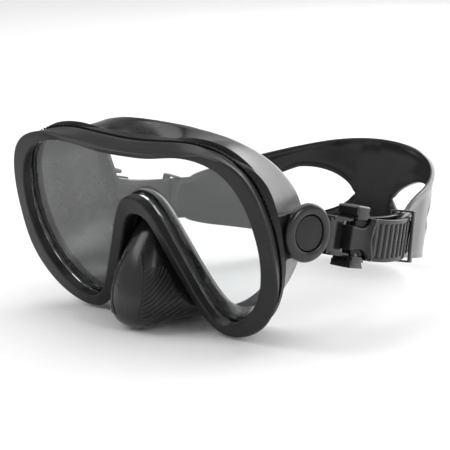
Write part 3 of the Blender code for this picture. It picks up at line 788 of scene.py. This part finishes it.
class MASK_OT_skirt(bpy.types.Operator):
    """Smooth the silicone skirt and rib the sides of its nose pocket"""

    bl_idname = "mask.skirt"
    bl_label = "Skirt"

    def execute(self, context):
        sizes = context.scene.nose_sizes
        piece = smoothed("skirt", "skirt_moulding", "skirt_rubber", 60, 1)
        surface = BVHTree.FromObject(piece, context.evaluated_depsgraph_get())
        settle(piece, "mask", "skirt_silicone", "skirt")
        chains = nose_chains(surface, sizes)
        tree = piping_tree("nose_ribs", finish_of("skirt_rubber"))
        for side, name in SIDES:
            source = chains_object("rib_lines", [[(p.x * side, p.y, p.z) for p in chain]
                                                 for chain in chains])
            ribs = grown(name + "_nose_ribs", tree, source,
                         {"Radius": sizes.rib_radius, "Sides": 8}, "skirt_rubber")
            settle(ribs, "mask", "skirt_silicone")
        return {"FINISHED"}


class MASK_OT_swivels(bpy.types.Operator):
    """Finish the swivel caps, their centres, lugs and pivot pins"""

    bl_idname = "mask.swivels"
    bl_label = "Swivels"

    def execute(self, context):
        for side in ("left", "right"):
            ring = smoothed(side + "_cap", side + "_swivel_ring", "buckle_gloss", 50, 2)
            settle(ring, "mask", "gloss_black", side + "_cap")
            disc = rounded(side + "_cap_insert", side + "_swivel_disc", "insert_satin",
                           0.3 * MM)
            settle(disc, "mask", "satin_grey", side + "_cap_insert")
            lug = rounded(side + "_lug", side + "_lug_moulding", "frame_grain", 0.2 * MM)
            settle(lug, "mask", "frame", side + "_lug")
            pin = rounded(side + "_pivot_pin", side + "_pivot_turning", "pin_steel", 0.15 * MM)
            settle(pin, "mask", "steel", side + "_pivot_pin")
        return {"FINISHED"}


# the buckle arm's distance from the middle of the mask, in millimetres
ARM_OUT = 78.5


def arm_place(side):
    """The buckle's own frame: x outwards, y along the strap, z across it."""
    along = Vector((0, math.cos(STRAP_DROOP), -math.sin(STRAP_DROOP)))
    pivot = Vector((ARM_OUT * side * MM, PIVOT.y, PIVOT.z))
    return Matrix(((side, along.x, STRAP_UP.x, pivot.x), (0, along.y, STRAP_UP.y, pivot.y),
                   (0, along.z, STRAP_UP.z, pivot.z), (0, 0, 0, 1)))


def soft_box(bm, low, high, radius, segments=4):
    """A closed block with rounded edges, corners given in millimetres."""
    low, high = Vector(low) * MM, Vector(high) * MM
    made = bmesh.ops.create_cube(bm, size=1.0)["verts"]
    for vert in made:
        vert.co = Vector((low[i] + (vert.co[i] + 0.5) * (high[i] - low[i]) for i in range(3)))
    edges = list({edge for vert in made for edge in vert.link_edges})
    bmesh.ops.bevel(bm, geom=edges, offset=radius * MM, segments=segments, profile=0.5,
                    affect="EDGES", clamp_overlap=True)


def placed_piece(bm, name, key, side):
    """A piece built in the buckle's frame, put on its side of the mask."""
    bm.transform(arm_place(side))
    bmesh.ops.recalc_face_normals(bm, faces=bm.faces)
    piece = new_piece(name, bm, key)
    piece.data.shade_smooth()
    piece.data.set_sharp_from_angle(angle=math.radians(50))
    return piece


# places along the buckle's arm, and half the latch's outline, in millimetres
BUTTON_AT = 36.4
BUTTON_FOOT = 13.0
LATCH_AT = 30.0
LATCH_HALF = [(-1.5, 5.8), (5, 5.0), (9.5, 5.2), (12.8, 7.0), (15, 9.8), (17.4, 10.3),
              (18.5, 8.6), (16.4, 4.8), (15.2, 0)]
LATCH_LAYERS = [(6.9, 0.35), (7.1, 0.1), (7.5, 0.0), (8.0, 0.0), (8.4, 0.15), (8.6, 0.55)]
LIP_HALF = [(16.3, 9.6), (17.1, 8.6), (15.7, 4.8), (14.5, 0)]
LIP_HEIGHT = 8.2


def button_mesh(direction, top):
    """A squeeze button: a rounded pad, its apron beside the latch, and its stem."""
    bm = bmesh.new()
    soft_box(bm, (-4.2, BUTTON_AT - 4.4, BUTTON_FOOT), (7.9, BUTTON_AT + 6.0, top),
             min(1.1, 0.48 * (top - BUTTON_FOOT)), 6)
    soft_box(bm, (4.4, BUTTON_AT - 3.0, 11.8), (7.7, BUTTON_AT + 5.6, top - 0.3), 0.7)
    soft_box(bm, (6.3, BUTTON_AT - 3.0, 8.8), (7.5, BUTTON_AT + 5.2, top - 0.6), 0.5)
    soft_box(bm, (-4.0, BUTTON_AT - 4.2, 10.8), (7.6, BUTTON_AT - 3.2, top - 0.3), 0.45)
    soft_box(bm, (-1.8, BUTTON_AT - 0.8, 11.1), (-0.2, BUTTON_AT + 0.8, 13.6), 0.4)
    bmesh.ops.scale(bm, vec=(1, 1, direction), verts=bm.verts)
    return bm


def latch_mesh():
    """The X-shaped latch plate with its rounded edge and the barrel of its pin."""
    half = spline([(x, v, 0) for x, v in LATCH_HALF], 8)
    loop = [(p.x, p.y) for p in half] + [(p.x, -p.y) for p in reversed(half[:-1])]
    bm = bmesh.new()
    rows = []
    for height, inset in LATCH_LAYERS:
        row = []
        for k, (y, z) in enumerate(loop):
            before, after = loop[k - 1], loop[(k + 1) % len(loop)]
            inward = Vector((before[1] - after[1], after[0] - before[0])).normalized()
            row.append(bm.verts.new(Vector((height, LATCH_AT + y - inward.x * inset,
                                            z - inward.y * inset)) * MM))
        rows.append(row)
    count = len(loop)
    for lower, upper in zip(rows, rows[1:]):
        for k in range(count):
            n = (k + 1) % count
            bm.faces.new((lower[k], lower[n], upper[n], upper[k]))
    bm.faces.new(rows[0])
    bm.faces.new(rows[-1])
    soft_box(bm, (0.6, LATCH_AT - 1.5, -5.8), (7.4, LATCH_AT + 1.6, 5.8), 0.5)
    return bm


class BUCKLE_OT_buttons(bpy.types.Operator):
    """Mould the squeeze buttons with their rows of grip dots"""

    bl_idname = "mask.buttons"
    bl_label = "Buttons"

    def execute(self, context):
        tree = bead_row_tree("button_dots", finish_of("button_gloss"))
        for side, name in SIDES:
            for direction, level, top in ((1, "upper", 15.4), (-1, "lower", 14.3)):
                node = name + "_" + level + "_button"
                piece = placed_piece(button_mesh(direction, top), node + "_moulding",
                                     "button_gloss", side)
                settle(piece, node, "button_black", node)
                place = arm_place(side)
                lines = [[place @ (Vector((x, BUTTON_AT + y, direction * (top - 0.05))) * MM)
                          for y in (-1.6, 4.4)] for x in (-1.6, 0.4, 2.4, 4.4)]
                dots = grown(node + "_dots", tree, chains_object("dot_lines", lines),
                             {"Count": 5, "Bead Radius": 0.4 * MM}, "button_gloss")
                settle(dots, node, "button_black")
        return {"FINISHED"}


class BUCKLE_OT_latches(bpy.types.Operator):
    """Mould the latches with the rolled lip that bears on the strap"""

    bl_idname = "mask.latches"
    bl_label = "Latches"

    def execute(self, context):
        tree = piping_tree("latch_lip", finish_of("buckle_gloss"))
        for side, name in SIDES:
            node = name + "_latch"
            piece = placed_piece(latch_mesh(), node + "_moulding", "latch_satin", side)
            settle(piece, node, "satin_black", node)
            edge = spline([(x, v, 0) for x, v in LIP_HALF], 6)
            line = [(p.x, p.y) for p in edge] + [(p.x, -p.y) for p in reversed(edge[:-1])]
            place = arm_place(side)
            chain = [place @ (Vector((LIP_HEIGHT, LATCH_AT + y, z)) * MM) for y, z in line]
            lip = grown(node + "_lip", tree, chains_object("lip_line", [chain]),
                        {"Radius": 1.1 * MM, "Sides": 16}, "buckle_gloss")
            settle(lip, node, "satin_black")
        return {"FINISHED"}


class BUCKLE_OT_frames(bpy.types.Operator):
    """Finish the buckles' arms, rollers, pins and the strap keepers"""

    bl_idname = "mask.buckles"
    bl_label = "Buckles"

    def execute(self, context):
        finishes = [("buckle_body", "buckle_gloss", "gloss_black", 0.35),
                    ("roller", "latch_satin", "satin_black", 0.3),
                    ("roller_axle", "pin_steel", "steel", 0.15),
                    ("latch_pin", "pin_steel", "steel", 0.12),
                    ("keeper", "keeper_rubber", "strap_silicone", 0.3)]
        for side in ("left", "right"):
            for part, key, slot, width in finishes:
                node = side + "_" + part
                piece = rounded(node, node + "_moulding", key, width * MM)
                settle(piece, body_of(node), slot, node)
        return {"FINISHED"}


# ---------------------------------------------------------------- studio


# the floor's outline, radius and height in metres, flat and then swept up to a wall
SWEEP = [(0.6, 0), (2.2, 0), (3.6, 0), (4.0, 0.04), (4.4, 0.2), (4.7, 0.55), (4.85, 1.2),
         (4.9, 2.2), (4.9, 4.0)]

# each softbox's name, place, width and height in metres, and share of the key's power
LAMPS = [("key_softbox", (-0.75, -0.9, 1.1), 0.7, 0.9, 1.0),
         ("side_softbox", (1.2, -0.1, 0.75), 0.5, 0.8, 0.8),
         ("rear_softbox", (0.1, 1.3, 0.55), 1.6, 0.9, 1.7)]
LAMP_TARGET = (0, 0, 0.05)

# the camera's place from the window's centre, in millimetres
CAMERA_FROM_WINDOW = Vector((575.1, -614.6, 190.7))


def area_light(name, place, target, width, height, power):
    light = bpy.data.lights.new(name, "AREA")
    light.shape = "RECTANGLE"
    light.size = width
    light.size_y = height
    light.energy = power
    lamp = bpy.data.objects.new(name, light)
    lamp.location = place
    lamp.rotation_euler = (Vector(target) - Vector(place)).to_track_quat("-Z", "Y").to_euler()
    lamp.visible_camera = False
    bpy.context.scene.collection.objects.link(lamp)


class STUDIO_OT_stage(bpy.types.Operator):
    """Set the pale floor, the soft lights and the camera"""

    bl_idname = "mask.stage"
    bl_label = "Studio"

    def execute(self, context):
        studio = context.scene.studio
        bm = bmesh.new()
        steps = 64
        rows = []
        for radius, height in SWEEP:
            rows.append([bm.verts.new((radius * math.cos(2 * math.pi * k / steps),
                                       radius * math.sin(2 * math.pi * k / steps), height))
                         for k in range(steps)])
        bm.faces.new(rows[0])
        for lower, upper in zip(rows, rows[1:]):
            for k in range(steps):
                n = (k + 1) % steps
                bm.faces.new((lower[k], upper[k], upper[n], lower[n]))
        floor = new_piece("studio_floor", bm, "studio_paper")
        floor.data.shade_smooth()
        floor.data.transform(Matrix.Translation((0, 0, CAD_BOX[0].z - 0.2 * MM)))
        world = bpy.data.worlds.new("studio_world")
        world.use_nodes = True
        sky = world.node_tree.nodes["Background"]
        sky.inputs["Color"].default_value = (1, 1, 1, 1)
        sky.inputs["Strength"].default_value = studio.fill
        context.scene.world = world
        context.scene.view_settings.view_transform = "Standard"
        sun = bpy.data.lights.new("overhead_glow", "SUN")
        sun.energy = studio.overhead
        sun.angle = math.radians(70)
        glow = bpy.data.objects.new("overhead_glow", sun)
        glow.rotation_euler = (math.radians(-22), math.radians(-12), 0)
        context.scene.collection.objects.link(glow)
        for name, place, width, height, share in LAMPS:
            area_light(name, place, LAMP_TARGET, width, height, studio.key * share)
        camera = bpy.data.cameras.new("camera")
        camera.sensor_width = 36.0
        camera.lens = 144.0
        camera.clip_start = 0.01
        camera.clip_end = 50.0
        eye = bpy.data.objects.new("camera", camera)
        around, above = studio.azimuth, studio.elevation
        ahead = Vector((-math.sin(around) * math.cos(above),
                        math.cos(around) * math.cos(above), -math.sin(above)))
        eye.location = WINDOW + CAMERA_FROM_WINDOW * MM
        eye.rotation_euler = ahead.to_track_quat("-Z", "Y").to_euler()
        context.scene.collection.objects.link(eye)
        context.scene.camera = eye
        return {"FINISHED"}


# ---------------------------------------------------------------- settings and panel


class FinishSettings(bpy.types.PropertyGroup):
    plastic_colour: FloatVectorProperty(
        name="Plastic", description="Colour of the bezel and buckles", subtype="COLOR",
        size=3, default=(0.009, 0.009, 0.0095), min=0, max=1)
    rubber_colour: FloatVectorProperty(
        name="Silicone", description="Colour of the skirt and strap", subtype="COLOR",
        size=3, default=(0.006, 0.006, 0.0064), min=0, max=1)


class StrapSizes(bpy.types.PropertyGroup):
    thickness: FloatProperty(name="Thickness", description="Strap thickness over its rims",
                             default=2.4 * MM, unit="LENGTH")
    wrap_radius: FloatProperty(name="Wrap radius", description="Strap centre round the roller",
                               default=4.4 * MM, unit="LENGTH")
    end_half: FloatProperty(name="End half width", description="Half the strap's end width",
                            default=10.3 * MM, unit="LENGTH")
    pad_half: FloatProperty(name="Pad half height", description="Half the back pad's height",
                            default=32.0 * MM, unit="LENGTH")
    band_width: FloatProperty(name="Band width", description="Band above and below a hole",
                              default=11.5 * MM, unit="LENGTH")
    hole_start: FloatProperty(name="Hole start", description="From the middle to each hole",
                              default=13.5 * MM, unit="LENGTH")
    hole_length: FloatProperty(name="Hole length", description="Length of each hole",
                               default=57.5 * MM, unit="LENGTH")
    rim_width: FloatProperty(name="Rim width", description="Raised rim along each edge",
                             default=1.9 * MM, unit="LENGTH")
    rim_height: FloatProperty(name="Rim height", description="How proud the rim stands",
                              default=0.3 * MM, unit="LENGTH")
    rib_pitch: FloatProperty(name="Rib pitch", description="Distance between cross ribs",
                             default=4.4 * MM, unit="LENGTH")
    rib_radius: FloatProperty(name="Rib radius", description="Half a cross rib's width",
                              default=1.45 * MM, unit="LENGTH")


class NoseSizes(bpy.types.PropertyGroup):
    ribs: IntProperty(name="Ribs", description="Ribs on each side of the nose", default=17)
    rise: FloatProperty(name="Rise", description="How far each rib climbs, in millimetres",
                        default=12.0)
    rib_radius: FloatProperty(name="Rib radius", description="Radius of a nose rib",
                              default=0.62 * MM, unit="LENGTH")


class StudioSettings(bpy.types.PropertyGroup):
    azimuth: FloatProperty(name="Azimuth", description="Camera's turn round the mask",
                           default=math.radians(40.3), subtype="ANGLE")
    elevation: FloatProperty(name="Elevation", description="Camera's height angle",
                             default=math.radians(12.3), subtype="ANGLE")
    fill: FloatProperty(name="Fill", description="Brightness of the surrounding light",
                        default=0.2)
    overhead: FloatProperty(name="Overhead", description="Strength of the soft top light",
                            default=1.8)
    key: FloatProperty(name="Key", description="Power of the main softbox", default=7.0,
                       unit="POWER")


STEPS = ("glass", "rings", "grip_row", "skirt", "strap", "swivels", "buttons", "latches",
         "buckles", "stage")


class MASK_PT_panel(bpy.types.Panel):
    """Lists the steps that finish the mask"""

    bl_idname = "MASK_PT_panel"
    bl_label = "Diving Mask"
    bl_space_type = "VIEW_3D"
    bl_region_type = "UI"
    bl_category = "Diving Mask"

    def draw(self, context):
        for step in STEPS:
            self.layout.operator("mask." + step)
        for group in (context.scene.mask_finish, context.scene.strap_sizes,
                      context.scene.nose_sizes, context.scene.studio):
            for name in group.__annotations__:
                self.layout.prop(group, name)


CLASSES = (FinishSettings, StrapSizes, NoseSizes, StudioSettings, MASK_OT_glass,
           MASK_OT_rings, MASK_OT_grip_row, MASK_OT_skirt, STRAP_OT_band, MASK_OT_swivels,
           BUCKLE_OT_buttons, BUCKLE_OT_latches, BUCKLE_OT_frames, STUDIO_OT_stage,
           MASK_PT_panel)


def register():
    for cls in CLASSES:
        bpy.utils.register_class(cls)
    bpy.types.Scene.mask_finish = PointerProperty(type=FinishSettings)
    bpy.types.Scene.strap_sizes = PointerProperty(type=StrapSizes)
    bpy.types.Scene.nose_sizes = PointerProperty(type=NoseSizes)
    bpy.types.Scene.studio = PointerProperty(type=StudioSettings)


def unregister():
    del bpy.types.Scene.studio
    del bpy.types.Scene.nose_sizes
    del bpy.types.Scene.strap_sizes
    del bpy.types.Scene.mask_finish
    for cls in reversed(CLASSES):
        bpy.utils.unregister_class(cls)


def main():
    register()
    for step in STEPS:
        getattr(bpy.ops.mask, step)()
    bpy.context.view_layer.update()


if __name__ == "__main__":
    main()
